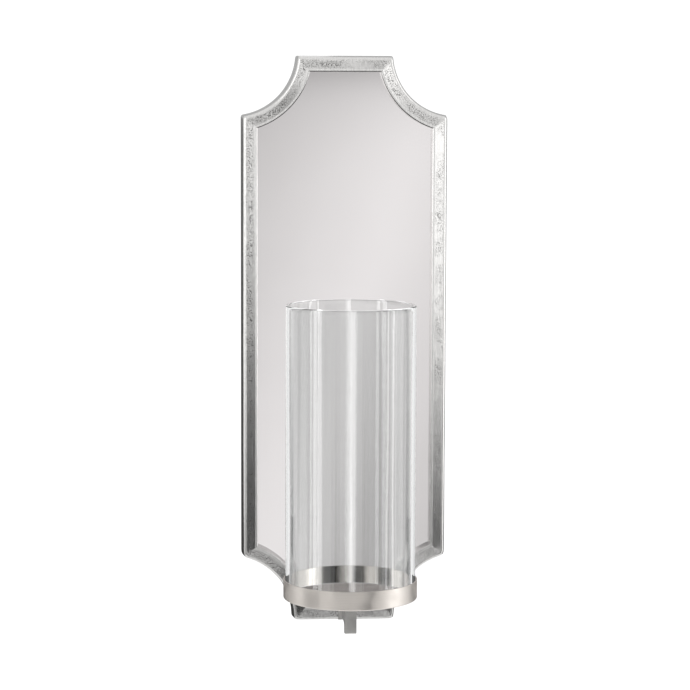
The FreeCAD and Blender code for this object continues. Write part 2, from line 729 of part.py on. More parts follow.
def make_glass():
    """The hurricane glass: an open tube with a fire-polished top rim."""
    body = new_body("hurricane_glass")
    inner = "sizes.glass_radius - sizes.glass_wall"
    turned(body, "glass_tube", [
        (inner, "0"),
        ("sizes.glass_radius", "0"),
        ("sizes.glass_radius", "sizes.glass_height"),
        (inner, "sizes.glass_height"),
    ])
    top = SIZES["glass_height"]
    round_edges(body, "fire_polish", "sizes.glass_wall * 0.45",
                lambda edge: edge.CenterOfMass.z > top - 1
                and edge.BoundBox.ZLength < 0.1)
    place(body, "0", "sizes.pan_reach", "sizes.arm_top + sizes.pan_floor")
    return body


def make_parts():
    rebate_value = SIZES["rebate_inset"] + SIZES["edge_gap"]
    board_depth = "sizes.bumper_height"
    pad_depth = f"{board_depth} + sizes.board_thickness"
    mirror_depth = f"{pad_depth} + sizes.pad_thickness"
    parts = [
        make_frame(),
        make_sheet("mirror", "sizes.mirror_thickness", mirror_depth, rebate_value),
        make_sheet("mirror_pad", "sizes.pad_thickness", pad_depth, rebate_value),
        make_board(board_depth, rebate_value),
        make_button_screws(),
        make_hanger_screws(),
        make_bumpers(),
        make_arm(),
        make_arm_screw(),
        make_pan(),
        make_pan_screw(),
        make_glass(),
    ]
    for name, side in SIDES.items():
        parts.append(make_strap(f"hanger_strap_{name}", side))
        parts.append(make_ring(f"hanger_ring_{name}", side))
        for row in range(BUTTON_ROWS):
            parts.append(make_button(f"turn_button_{name}_{row + 1}", side, row))
    return parts


def check_and_export(parts):
    doc.recompute()
    for thing in doc.Objects:
        if {"Invalid", "Error"} & set(thing.State):
            raise RuntimeError(f"{thing.Name} failed: {thing.State}")
    for part in parts:
        if part.Shape.isNull() or not part.Shape.isValid() or not part.Shape.Solids:
            raise RuntimeError(f"{part.Label} has no valid solid")
    os.makedirs("parts", exist_ok=True)
    for part in parts:
        part.Shape.exportStep(f"parts/{part.Label}.step")
        print(f"{part.Label}: {len(part.Shape.Solids)} solids, {part.Shape.Volume:.0f} mm3")


check_and_export(make_parts())
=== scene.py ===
import math

import bmesh
import bpy
from mathutils import Matrix, Vector, kdtree, noise


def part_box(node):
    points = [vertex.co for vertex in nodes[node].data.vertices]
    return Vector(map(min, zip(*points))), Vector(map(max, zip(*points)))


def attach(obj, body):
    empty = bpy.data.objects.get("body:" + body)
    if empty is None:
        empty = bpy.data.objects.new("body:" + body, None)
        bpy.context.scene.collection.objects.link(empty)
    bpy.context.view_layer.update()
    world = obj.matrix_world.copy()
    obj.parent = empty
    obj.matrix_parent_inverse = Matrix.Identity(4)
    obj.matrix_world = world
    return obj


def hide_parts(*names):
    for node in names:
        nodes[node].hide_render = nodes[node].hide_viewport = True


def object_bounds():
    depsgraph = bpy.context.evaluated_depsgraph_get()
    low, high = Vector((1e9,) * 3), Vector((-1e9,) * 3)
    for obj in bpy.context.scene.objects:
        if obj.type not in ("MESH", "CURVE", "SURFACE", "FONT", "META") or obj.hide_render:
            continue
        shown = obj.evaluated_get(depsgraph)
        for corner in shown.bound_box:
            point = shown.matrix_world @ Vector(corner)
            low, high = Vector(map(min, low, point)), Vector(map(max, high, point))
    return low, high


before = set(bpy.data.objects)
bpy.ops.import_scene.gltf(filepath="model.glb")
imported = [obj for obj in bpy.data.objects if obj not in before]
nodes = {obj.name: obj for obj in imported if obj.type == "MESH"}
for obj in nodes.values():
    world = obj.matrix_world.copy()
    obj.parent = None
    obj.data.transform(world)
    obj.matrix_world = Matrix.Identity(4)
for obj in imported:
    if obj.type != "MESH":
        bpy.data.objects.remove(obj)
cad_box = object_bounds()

# A mirrored wall sconce: a silver cast frame, a pan on an arm, and a hurricane glass.
# Metres, in the shared frame: +X right, -Y towards the room, +Z up.
# Sections and outlines are drawn in mm and brought to metres with MM.

scene = bpy.context.scene
MM = 0.001
WHITE = (1.0, 1.0, 1.0, 1.0)
BLACK = (0.0, 0.0, 0.0, 1.0)


# ---------------------------------------------------------------- material helpers

def new_material(name):
    """A material with an empty node tree but for its output and a principled shader."""
    material = bpy.data.materials.new(name)
    material.use_nodes = True
    tree = material.node_tree
    tree.nodes.clear()
    output = tree.nodes.new("ShaderNodeOutputMaterial")
    shader = tree.nodes.new("ShaderNodeBsdfPrincipled")
    tree.links.new(shader.outputs["BSDF"], output.inputs["Surface"])
    return material, tree, shader


def feed(tree, node, inputs):
    """Fill a node's sockets, each with a value or with another node's output."""
    for name, value in inputs.items():
        if isinstance(value, bpy.types.NodeSocket):
            tree.links.new(value, node.inputs[name])
        else:
            node.inputs[name].default_value = value


def add(tree, kind, inputs=None, **settings):
    """A node with its settings and its sockets filled."""
    node = tree.nodes.new(f"ShaderNode{kind}")
    for name, value in settings.items():
        setattr(node, name, value)
    feed(tree, node, inputs or {})
    return node


def place_of(tree, scale=(1.0, 1.0, 1.0)):
    """Object coordinates in metres, stretched by a scale."""
    where = add(tree, "TexCoord")
    return add(tree, "Mapping", {"Vector": where.outputs["Object"], "Scale": scale}).outputs[0]


def part_of(tree, vector, axis):
    """One coordinate of a vector."""
    return add(tree, "SeparateXYZ", {"Vector": vector}).outputs[axis]


def noise_of(tree, place, scale, detail, roughness):
    """Soft noise from 0 to 1, with scale cells to the metre."""
    return add(tree, "TexNoise", {"Vector": place, "Scale": scale, "Detail": detail,
                                  "Roughness": roughness}).outputs["Fac"]


def math_of(tree, operation, *values):
    """The result of a math node on one or two values."""
    return add(tree, "Math", dict(enumerate(values)), operation=operation).outputs[0]


def map_of(tree, value, low, high, to_low=0.0, to_high=1.0, clamp=True):
    """A value between low and high, mapped to another range."""
    return add(tree, "MapRange", {"Value": value, "From Min": low, "From Max": high,
                                  "To Min": to_low, "To Max": to_high}, clamp=clamp).outputs[0]


def multiplied(tree, first, second):
    """Two colours multiplied."""
    return add(tree, "Mix", {"Factor": 1.0, "A": first, "B": second},
               data_type="RGBA", blend_type="MULTIPLY").outputs["Result"]


def ramp_of(tree, factor, stops):
    """A colour ramp; stops are (position, grey or rgb)."""
    node = add(tree, "ValToRGB", {"Fac": factor})
    elements = node.color_ramp.elements
    while len(elements) < len(stops):
        elements.new(0.5)
    for element, (position, colour) in zip(elements, stops):
        element.position = position
        rgb = (colour,) * 3 if isinstance(colour, (int, float)) else colour
        element.color = (*rgb, 1.0)
    return node.outputs["Color"]


def bump_of(tree, height, distance, strength, under=None):
    """A normal bumped by a height; distance is in metres, and under is a normal to add to."""
    inputs = {"Height": height, "Distance": distance, "Strength": strength}
    if under is not None:
        inputs["Normal"] = under
    return add(tree, "Bump", inputs).outputs["Normal"]


# ---------------------------------------------------------------- materials

# the frame mesh says at each point how many mm it lies in from the outline
INSET = "inset_mm"
# in mm from the outline: where the pits stop and the nose and lip are rubbed bright
NOSE_PITTED, NOSE_BRIGHT = 4.8, 3.4
LIP_PITTED, LIP_BRIGHT = 8.4, 10.6
RUB_WANDER = 1.2
# the left side is more pitted than the right: the shift in polish at this far from the middle
SIDE_REACH = 0.08
LEFT_SHIFT, RIGHT_SHIFT = -0.13, 0.09
# in mm from the outline: a painted shade line under the lip, standing in for the shade where the
# lip meets the mirror; it ends at the clean inner wall
PAINTED_SHADE_START, PAINTED_SHADE_FULL = 11.9, 12.3
PAINTED_SHADE_FADE, PAINTED_SHADE_END = 12.9, 12.99
PAINTED_SHADE_TONE = 0.06
# how far a surface has to face down to take the painted shade, as the upward part of its normal
UNDER_START, UNDER_FULL = -0.1, -0.3
# painted shade: the colour darkens towards the casting's foot as its reflections do, between these
# heights and to this tone
LOW_SHADE_TOP = -0.12
LOW_SHADE_BOTTOM = -0.36
LOW_SHADE_TONE = 0.62
LOW_SHADE_WANDER = 0.03
PIT_COLOUR = (0.10, 0.097, 0.093)
SILVER_COLOUR = (0.92, 0.91, 0.895)


def silver_polish(tree, place, patches, inset):
    """How polished each spot is: fine pits in the face, and none on the rubbed nose and lip."""
    pits = noise_of(tree, place, 1250.0, 3.0, 0.65)
    speckle = map_of(tree, pits, 0.40, 0.49)
    across = map_of(tree, part_of(tree, place, "X"), -SIDE_REACH, SIDE_REACH,
                    LEFT_SHIFT, RIGHT_SHIFT)
    spread = map_of(tree, math_of(tree, "ADD", patches, across), 0.43, 0.62)
    stray = map_of(tree, patches, 0.3, 0.7, -RUB_WANDER, RUB_WANDER)
    line = math_of(tree, "ADD", inset, stray)
    rubbed = math_of(tree, "MAXIMUM", map_of(tree, line, NOSE_PITTED, NOSE_BRIGHT),
                     map_of(tree, line, LIP_PITTED, LIP_BRIGHT))
    clean = math_of(tree, "MAXIMUM", rubbed, spread)
    return math_of(tree, "MAXIMUM", speckle, clean)


def silver_painted_shade(tree, place, patches, inset):
    """Painted shade on the metal's tone: darker towards the foot, and darkest in a painted shade
    line under the lip.
    """
    wander = map_of(tree, patches, 0.0, 1.0, -LOW_SHADE_WANDER, LOW_SHADE_WANDER)
    level = math_of(tree, "ADD", part_of(tree, place, "Z"), wander)
    # painted shade: darker towards the foot, standing in for the dark reflections low on the frame
    low_shade = map_of(tree, level, LOW_SHADE_BOTTOM, LOW_SHADE_TOP, LOW_SHADE_TONE, 1.0)
    upward = part_of(tree, add(tree, "NewGeometry").outputs["Normal"], "Z")
    under = map_of(tree, upward, UNDER_START, UNDER_FULL)
    # painted shade: a dark line under the lip, only where the surface faces down
    edge = math_of(tree, "MULTIPLY", map_of(tree, inset, PAINTED_SHADE_START, PAINTED_SHADE_FULL),
                   map_of(tree, inset, PAINTED_SHADE_END, PAINTED_SHADE_FADE))
    painted_shade = math_of(tree, "MULTIPLY", under, edge)
    return math_of(tree, "MULTIPLY", low_shade, map_of(tree, painted_shade, 0.0, 1.0, 1.0, PAINTED_SHADE_TONE))


def cast_silver():
    """Nickel-toned cast metal: polished high spots between fine dark pits."""
    material, tree, shader = new_material("cast_silver")
    place = place_of(tree)
    patches = noise_of(tree, place, 42.0, 4.0, 0.6)
    drag = noise_of(tree, place_of(tree, (1.0, 1.0, 0.16)), 900.0, 2.0, 0.5)
    inset = add(tree, "Attribute", attribute_name=INSET).outputs["Fac"]
    bright = silver_polish(tree, place, patches, inset)
    colour = ramp_of(tree, bright, [(0.0, PIT_COLOUR), (1.0, SILVER_COLOUR)])
    worn = multiplied(tree, colour, ramp_of(tree, drag, [(0.3, 0.86), (0.7, 1.0)]))
    dents = bump_of(tree, drag, 0.000012, 0.7)
    feed(tree, shader, {
        # the colour carries painted shade: darker towards the foot and under the lip
        "Base Color": multiplied(tree, worn, silver_painted_shade(tree, place, patches, inset)),
        "Metallic": 1.0,
        "Roughness": ramp_of(tree, bright, [(0.0, 0.34), (1.0, 0.19)]),
        "Normal": bump_of(tree, bright, 0.000025, 0.6, dents),
    })
    return material


def brushed_round(name, colour, rough, axis_x, axis_y, wall_inside):
    """Nickel brushed in rings about an upright axis, and smoother inside a radius."""
    material, tree, shader = new_material(name)
    where = add(tree, "TexCoord").outputs["Object"]
    moved = add(tree, "VectorMath", {0: where, 1: (-axis_x, -axis_y, 0.0)},
                operation="ADD").outputs["Vector"]
    split = add(tree, "SeparateXYZ", {"Vector": moved})
    flat = add(tree, "CombineXYZ", {"X": split.outputs["X"], "Y": split.outputs["Y"]})
    radius = add(tree, "VectorMath", {0: flat.outputs[0]}, operation="LENGTH").outputs["Value"]
    rings = add(tree, "CombineXYZ", {"X": radius, "Y": split.outputs["Z"]}).outputs[0]
    lines = noise_of(tree, rings, 3200.0, 2.0, 0.7)
    cloud = noise_of(tree, where, 60.0, 3.0, 0.5)
    darker = tuple(c * 0.82 for c in colour)
    outside = map_of(tree, radius, wall_inside, wall_inside + 0.4 * MM)
    base = map_of(tree, outside, 0.0, 1.0, rough * 0.4, rough)
    vary = map_of(tree, cloud, 0.3, 0.7, 0.8, 1.25)
    feed(tree, shader, {
        "Base Color": ramp_of(tree, lines, [(0.3, darker), (0.7, colour)]),
        "Metallic": 1.0,
        "Roughness": math_of(tree, "MULTIPLY", base, vary),
        "Normal": bump_of(tree, lines, 0.00003, 0.5),
    })
    return material


def worn_metal(name, colour, rough, grain_scale, grain_depth):
    """Plain metal with a fine grain and a cloudy tone."""
    material, tree, shader = new_material(name)
    place = place_of(tree)
    grain = noise_of(tree, place, grain_scale, 3.0, 0.6)
    cloud = noise_of(tree, place, 90.0, 3.0, 0.5)
    darker = tuple(c * 0.75 for c in colour)
    feed(tree, shader, {
        "Base Color": ramp_of(tree, cloud, [(0.3, darker), (0.7, colour)]),
        "Metallic": 1.0,
        "Roughness": ramp_of(tree, grain, [(0.3, rough * 1.3), (0.7, rough * 0.8)]),
        "Normal": bump_of(tree, grain, grain_depth, 0.6),
    })
    return material


def silvered_mirror():
    """A silvered glass sheet, with the faint unevenness of a cheap mirror."""
    material, tree, shader = new_material("mirror_glass")
    haze = noise_of(tree, place_of(tree), 14.0, 2.0, 0.5)
    tones = [(0.3, (0.815, 0.787, 0.787)), (0.7, (0.85, 0.822, 0.822))]
    feed(tree, shader, {
        "Base Color": ramp_of(tree, haze, tones),
        "Metallic": 1.0,
        "Roughness": ramp_of(tree, haze, [(0.3, 0.06), (0.7, 0.09)]),
    })
    return material


def clear_glass():
    """Slightly green soda glass, drawn, so its surface waves along its height."""
    material, tree, shader = new_material("clear_glass")
    waves = noise_of(tree, place_of(tree, (1.0, 1.0, 0.12)), 42.0, 1.0, 0.4)
    feed(tree, shader, {
        "Base Color": (0.838, 0.846, 0.844, 1.0),
        "Transmission Weight": 1.0,
        "IOR": 1.5,
        "Roughness": ramp_of(tree, waves, [(0.3, 0.0), (0.8, 0.012)]),
        "Normal": bump_of(tree, waves, 0.0006, 0.6),
    })
    return material


def fibreboard():
    """Pressed brown board with short fibres and a cloudy tone."""
    material, tree, shader = new_material("fibreboard")
    place = place_of(tree)
    fibres = noise_of(tree, place, 700.0, 5.0, 0.7)
    cloud = noise_of(tree, place, 18.0, 3.0, 0.6)
    base = ramp_of(tree, fibres, [(0.3, (0.22, 0.13, 0.07)), (0.7, (0.42, 0.28, 0.16))])
    feed(tree, shader, {
        "Base Color": multiplied(tree, base, ramp_of(tree, cloud, [(0.3, 0.85), (0.7, 1.0)])),
        "Roughness": 0.8,
        "Normal": bump_of(tree, fibres, 0.0002, 0.6),
    })
    return material


def soft_black():
    """Black rubber with a fine grain."""
    material, tree, shader = new_material("black_rubber")
    grain = noise_of(tree, place_of(tree), 1500.0, 3.0, 0.6)
    feed(tree, shader, {
        "Base Color": ramp_of(tree, grain, [(0.3, 0.012), (0.7, 0.03)]),
        "Roughness": 0.7,
        "Normal": bump_of(tree, grain, 0.00008, 0.6),
    })
    return material


def dress(node, material):
    """Give a carried-over CAD node one material."""
    mesh = nodes[node].data
    mesh.materials.clear()
    mesh.materials.append(material)


pan_low, pan_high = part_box("pan")
PAN_X = (pan_low.x + pan_high.x) / 2
PAN_Y = (pan_low.y + pan_high.y) / 2
# inside the thickness of the pan's wall, so that only its outer face is left rough
PAN_INSIDE = (pan_high.x - pan_low.x) / 2 - 0.8 * MM

zinc = worn_metal("zinc_steel", (0.60, 0.61, 0.63), 0.36, 1400.0, 0.00005)
MATERIALS = {
    "frame": cast_silver(),
    "mirror": silvered_mirror(),
    "mirror_pad": fibreboard(),
    "backing_board": fibreboard(),
    "arm": worn_metal("arm_nickel", (0.50, 0.49, 0.475), 0.42, 1100.0, 0.00012),
    "pan": brushed_round("pan_nickel", (0.78, 0.735, 0.69), 0.46, PAN_X, PAN_Y, PAN_INSIDE),
    "hurricane_glass": clear_glass(),
    "wall_bumpers": soft_black(),
}
for name in nodes:
    dress(name, MATERIALS.get(name, zinc))


# ---------------------------------------------------------------- mesh helpers

def new_object(name, data):
    """An object, linked into the scene."""
    thing = bpy.data.objects.new(name, data)
    scene.collection.objects.link(thing)
    return thing


def smooth_by_angle(mesh, degrees):
    """Smooth shading, with edges sharper than an angle kept crisp."""
    mesh.shade_smooth()
    mesh.set_sharp_from_angle(angle=math.radians(degrees))


def swept_mesh(name, verts, around):
    """A mesh of equal closed rings joined in a loop, and a bmesh of it with normals outwards."""
    across = len(verts) // around
    faces = []
    for row in range(across):
        here, after = row * around, (row + 1) % across * around
        for i in range(around):
            j = (i + 1) % around
            faces.append((here + i, here + j, after + j, after + i))
    mesh = bpy.data.meshes.new(name)
    mesh.from_pydata(verts, [], faces)
    build = bmesh.new()
    build.from_mesh(mesh)
    bmesh.ops.recalc_face_normals(build, faces=build.faces)
    build.normal_update()
    return mesh, build


def cut_box(thing, low, high):
    """Cut an upright box, given in mm, out of a mesh object."""
    mesh = bpy.data.meshes.new("cutter")
    build = bmesh.new()
    size = Vector(high) - Vector(low)
    middle = (Vector(high) + Vector(low)) / 2
    shape = Matrix.Translation(middle * MM) @ Matrix.Diagonal((*(size * MM), 1.0))
    bmesh.ops.create_cube(build, size=1.0, matrix=shape)
    build.to_mesh(mesh)
    build.free()
    cutter = new_object("cutter", mesh)
    modifier = thing.modifiers.new("cut", "BOOLEAN")
    modifier.operation = "DIFFERENCE"
    modifier.solver = "EXACT"
    modifier.object = cutter
    graph = bpy.context.evaluated_depsgraph_get()
    cut = bpy.data.meshes.new_from_object(thing.evaluated_get(graph))
    thing.modifiers.clear()
    thing.data = cut
    bpy.data.objects.remove(cutter)


def soften_edges(node, width):
    """A small bevel, in mm, on a carried-over metal node, as tumbling and plating leave."""
    bevel = nodes[node].modifiers.new("edge", "BEVEL")
    bevel.width = width * MM
    bevel.segments = 2
    bevel.limit_method = "ANGLE"
    bevel.angle_limit = math.radians(40)
    bevel.harden_normals = False


# ---------------------------------------------------------------- frame

frame_low, frame_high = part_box("frame")
HALF_WIDTH = frame_high.x / MM
BOTTOM = frame_low.z / MM
HEIGHT = frame_high.z / MM - BOTTOM

# scoop radius, and how far its centre lies beyond the frame's side and end
TOP_SCOOP = (50.0, 6.5, 2.6)
BOTTOM_SCOOP = (52.0, 11.2, 1.7)
SIDE_STEPS = 320
SCOOP_STEPS = 72
END_STEPS = 70

# the frame's section from its back outer edge, as (inset, depth) in mm:
# side, rounded nose, face, lip, rebate
FRAME_SECTION = [
    (0.0, 4.0), (1.15, 18.6), (1.3, 19.4), (1.6, 20.3), (2.0, 21.0), (2.5, 21.6), (3.0, 21.9),
    (3.6, 22.0), (4.2, 21.9), (11.3, 20.55), (11.7, 20.55), (12.1, 20.62), (12.5, 20.5),
    (12.85, 20.15), (13.0, 19.6), (13.0, 12.5), (9.0, 12.5), (9.0, 4.0),
]
SECTION_STEP = 0.8
FRAME_CREASE = 38

# corners nearer the outline than this are eased: rounds of averaging, and points either side
EASED_INSET = 8.0
BOTTOM_EASE = (10, 7)
TOP_EASE = (3, 4)

# the back and rebate stay even below one depth, and the outer side below another
EVEN_DEPTH = 13.0
SIDE_INSET, SIDE_EVEN_DEPTH = 1.0, 15.0
# hand work in mm: wavelength, depth and where in the noise, then how far it all sinks
UNEVENNESS = ((26.0, 0.12, (0.0, 0.0, 0.0)), (4.5, 0.018, (7.0, 3.0, 1.0)),
              (1.3, 0.008, (0.0, 0.0, 0.0)))
UNEVEN_SINK = 0.06

# the slot for the arm's rear leg, in mm: gap at its sides, front, and reach under and up
SLOT_GAP = 0.08
SLOT_FRONT = -30.0
SLOT_UNDER = 1.0
SLOT_HEIGHT = 14.0


def line_points(start, end, steps):
    """Points from start up to but not including end."""
    return [start.lerp(end, i / steps) for i in range(steps)]


def scoop_points(centre, start, end, steps):
    """Points on the short arc about a centre from start up to but not including end."""
    first = math.atan2(start.y - centre.y, start.x - centre.x)
    turn = math.atan2(end.y - centre.y, end.x - centre.x) - first
    turn = (turn + math.pi) % (2 * math.pi) - math.pi
    radius = (start - centre).length
    return [centre + Vector((math.cos(first + turn * i / steps),
                             math.sin(first + turn * i / steps))) * radius
            for i in range(steps)]


def scooped_loop(inset):
    """The frame's outline moved inwards, as points (across, up) in mm, and its corner indices."""
    side = HALF_WIDTH - inset
    top = HEIGHT - inset

    def corner(scoop, end_line, end_up):
        radius, out, _ = scoop
        centre = Vector((HALF_WIDTH + out, end_up))
        reach = radius + inset
        lift = math.sqrt(reach ** 2 - (centre.x - side) ** 2)
        pull = math.sqrt(reach ** 2 - (centre.y - end_line) ** 2)
        return centre, lift, Vector((centre.x - pull, end_line))

    top_centre, top_lift, top_end = corner(TOP_SCOOP, top, HEIGHT + TOP_SCOOP[2])
    low_centre, low_lift, low_end = corner(BOTTOM_SCOOP, inset, BOTTOM_SCOOP[2])
    top_tip = Vector((side, top_centre.y - top_lift))
    low_tip = Vector((side, low_centre.y + low_lift))

    def flip(point):
        return Vector((-point.x, point.y))

    runs = [
        line_points(low_tip, top_tip, SIDE_STEPS),
        scoop_points(top_centre, top_tip, top_end, SCOOP_STEPS),
        line_points(top_end, flip(top_end), END_STEPS),
        scoop_points(flip(top_centre), flip(top_end), flip(top_tip), SCOOP_STEPS),
        line_points(flip(top_tip), flip(low_tip), SIDE_STEPS),
        scoop_points(flip(low_centre), flip(low_tip), flip(low_end), SCOOP_STEPS),
        line_points(flip(low_end), low_end, END_STEPS),
        scoop_points(low_centre, low_end, low_tip, SCOOP_STEPS),
    ]
    loop, corners = [], []
    for run in runs:
        corners.append(len(loop))
        loop.extend(run)
    return loop, corners


def eased(loop, corners, rounds, reach):
    """The loop with its corners eased, by averaging neighbours near each corner."""
    count = len(loop)
    near = {(c + k) % count for c in corners for k in range(-reach, reach + 1)}
    for _ in range(rounds):
        loop = [(loop[i - 1] + 2 * point + loop[(i + 1) % count]) / 4 if i in near else point
                for i, point in enumerate(loop)]
    return loop


def fill_section(section, step):
    """Section points (inset, depth) with extra points so that none are further than step apart."""
    filled = []
    for index, start in enumerate(section):
        end = section[(index + 1) % len(section)]
        count = max(1, math.ceil((Vector(end) - Vector(start)).length / step))
        filled += [Vector(start).lerp(Vector(end), i / count) for i in range(count)]
    return filled


def frame_ring(inset, depth):
    """One ring of the sweep in metres: the outline at an inset, at a depth off the wall."""
    loop, corners = scooped_loop(inset)
    if inset < EASED_INSET:
        bottom = [corners[0], *corners[5:]]
        loop = eased(loop, bottom, *BOTTOM_EASE)
        loop = eased(loop, corners[1:5], *TOP_EASE)
    return [Vector((p.x, -depth, p.y + BOTTOM)) * MM for p in loop]


def uneven(at):
    """How far hand work moves a spot, in mm; it only sinks."""
    relief = sum(noise.noise(at / length + Vector(shift)) * depth
                 for length, depth, shift in UNEVENNESS)
    return min(0.0, relief - UNEVEN_SINK)


def mark_inset(mesh, places):
    """Store each point's inset from its nearest place in the sweep, for the metal's wear and for
    the painted shade under the lip.
    """
    finder = kdtree.KDTree(len(places))
    for index, (at, _) in enumerate(places):
        finder.insert(at, index)
    finder.balance()
    marks = mesh.attributes.new(INSET, "FLOAT", "POINT")
    for vert, mark in zip(mesh.vertices, marks.data):
        mark.value = places[finder.find(vert.co)[1]][1]


def cast_frame():
    """The cast frame as a dense sweep, with the unevenness of hand work."""
    section = fill_section(FRAME_SECTION, SECTION_STEP)
    rings = [frame_ring(inset, depth) for inset, depth in section]
    around = len(rings[0])
    mesh, build = swept_mesh("frame_cast", [point for ring in rings for point in ring], around)
    for vert in build.verts:
        inset, depth = section[vert.index // around]
        if depth < EVEN_DEPTH or (inset < SIDE_INSET and depth < SIDE_EVEN_DEPTH):
            continue
        vert.co += vert.normal * uneven(vert.co / MM) * MM
    places = [(vert.co.copy(), section[vert.index // around][0]) for vert in build.verts]
    build.to_mesh(mesh)
    build.free()
    thing = new_object("frame_cast", mesh)
    arm_low, arm_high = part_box("arm")
    cut_box(thing, (arm_low.x / MM - SLOT_GAP, SLOT_FRONT, BOTTOM - SLOT_UNDER),
            (arm_high.x / MM + SLOT_GAP, arm_high.y / MM, BOTTOM + SLOT_HEIGHT))
    mark_inset(thing.data, places)
    smooth_by_angle(thing.data, FRAME_CREASE)
    thing.data.materials.clear()
    thing.data.materials.append(MATERIALS["frame"])
    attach(thing, "sconce")
    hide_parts("frame")


# ---------------------------------------------------------------- glass

TUBE_WALL = 2.6
TUBE_FOOT_GAP = 0.05
TUBE_ROWS = 72
TUBE_AROUND = 256
TUBE_CREASE = 50
RIM_STEPS = 9
# the wall's waver: waves round the tube, length up it and depth in mm
WAVER = ((2.1, 260.0, 0.16), (6.0, 120.0, 0.02))
WAVER_SINK = 0.08
WAVER_LIMIT = 0.3
# where in the noise the inner wall lies, so that it wavers by itself
INNER_SHIFT = 9.0


def tube_section(outer, foot, top):
    """The tube's section as (radius, height) in mm: up outside, over the rim, down inside."""
    bead = TUBE_WALL / 2
    rim = top - bead
    rise = [(rim - foot) * i / TUBE_ROWS for i in range(TUBE_ROWS + 1)]
    turns = [math.pi * i / RIM_STEPS for i in range(1, RIM_STEPS)]
    return ([(outer, foot + up) for up in rise]
            + [(outer - bead + bead * math.cos(turn), rim + bead * math.sin(turn))
               for turn in turns]
            + [(outer - TUBE_WALL, rim - up) for up in rise])


def wavered(radius, height, way, outside):
    """The wall's radius in one direction; the outside only sinks, to stay inside its size."""
    side = 0.0 if outside else INNER_SHIFT
    bulge = sum(noise.noise(Vector((way.x * waves + side, way.y * waves, height / length))) * depth
                for waves, length, depth in WAVER)
    if outside:
        return radius + min(0.0, bulge - WAVER_SINK)
    return radius + max(-WAVER_LIMIT, bulge)


def hurricane():
    """The glass tube: drawn glass with a faintly wavy wall and a fire-polished rim."""
    low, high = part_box("hurricane_glass")
    outer = (high.x - low.x) / 2 / MM
    verts = []
    for radius, height in tube_section(outer, low.z / MM + TUBE_FOOT_GAP, high.z / MM):
        outside = radius > outer - TUBE_WALL / 2
        for i in range(TUBE_AROUND):
            turn = 2 * math.pi * i / TUBE_AROUND
            way = Vector((math.cos(turn), math.sin(turn), 0))
            reach = wavered(radius, height, way, outside)
            verts.append(Vector((PAN_X, PAN_Y, height * MM)) + way * reach * MM)
    mesh, build = swept_mesh("hurricane_drawn", verts, TUBE_AROUND)
    build.to_mesh(mesh)
    build.free()
    smooth_by_angle(mesh, TUBE_CREASE)
    mesh.materials.append(MATERIALS["hurricane_glass"])
    thing = new_object("hurricane_drawn", mesh)
    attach(thing, "glass")
    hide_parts("hurricane_glass")
    return thing


cast_frame()
tube = hurricane()
# the mirror shows only the room: these stay out of every reflection
tube.visible_glossy = False
for name in ("pan", "arm", "pan_screw", "arm_screw"):
    nodes[name].visible_glossy = False
soften_edges("arm", 0.35)
soften_edges("pan", 0.18)


# ---------------------------------------------------------------- camera

# focal length and sensor in mm, then place and direction of the viewpoint
LENS = 124.5
SENSOR = 36.0
CAMERA_AT = (-0.1421, -1.9132, 0.0636)
YAW = math.radians(4.30)
PITCH = math.radians(6.23)
ROLL = math.radians(0.20)

camera = new_object("camera", bpy.data.cameras.new("camera"))
camera.data.lens = LENS
camera.data.sensor_width = SENSOR
camera.location = CAMERA_AT
aim = Vector((math.sin(YAW) * math.cos(PITCH), math.cos(YAW) * math.cos(PITCH), -math.sin(PITCH)))
facing = aim.to_track_quat("-Z", "Y").to_matrix().to_4x4()
camera.rotation_euler = (facing @ Matrix.Rotation(ROLL, 4, "Z")).to_euler()
scene.camera = camera


# ---------------------------------------------------------------- studio

FLOOR_DROP = 1.3
FLOOR_HALF = 30.0
FLOOR_GLOW = 0.4
# the room as a light, and as the camera sees it
ROOM_LIGHT = 0.80
ROOM_SEEN = 1.1


def spot(azimuth, distance, height):
    """A place round the sconce: azimuth 0 is straight ahead, positive to the right."""
    turn = math.radians(azimuth)
    return Vector((math.sin(turn) * distance, -math.cos(turn) * distance, height))


def sheet(name, corners, material):
    """A single flat sheet of the set."""
    mesh = bpy.data.meshes.new(name)
    mesh.from_pydata(corners, [], [(0, 1, 2, 3)])
    mesh.materials.append(material)
    thing = new_object(name, mesh)
    return thing


def floor_material():
    """Plain pale floor with the faintest cloud, which glows a little to stay pale."""
    material, tree, shader = new_material("floor")
    cloud = noise_of(tree, place_of(tree), 2.0, 2.0, 0.5)
    feed(tree, shader, {
        "Base Color": ramp_of(tree, cloud, [(0.3, 0.93), (0.7, 0.9393)]),
        "Roughness": 0.9,
        "Emission Color": WHITE,
        "Emission Strength": FLOOR_GLOW,
    })
    return material


def strip_light(name, azimuth, distance, height, size, power):
    """An upright rectangular lamp turned to the pan's axis, not itself in view."""
    lamp = bpy.data.lights.new(name, "AREA")
    lamp.shape = "RECTANGLE"
    lamp.size, lamp.size_y = size
    lamp.energy = power
    holder = new_object(name, lamp)
    holder.location = spot(azimuth, distance, height)
    towards = Vector((PAN_X, PAN_Y, height)) - holder.location
    holder.rotation_euler = towards.to_track_quat("-Z", "Y").to_euler()
    holder.visible_camera = False
    return holder


def glow_material(name, tone=1.0):
    """A matt black material that glows with an even tone, with its tree and shader."""
    material, tree, shader = new_material(name)
    feed(tree, shader, {
        "Base Color": BLACK,
        "Roughness": 1.0,
        "Specular IOR Level": 0.0,
        "Emission Color": (tone, tone, tone, 1.0),
        "Emission Strength": 1.0,
    })
    return material, tree, shader


# the heights in metres between which a card's tones are laid out
TONES_LOW, TONES_HIGH = -1.0, 1.0


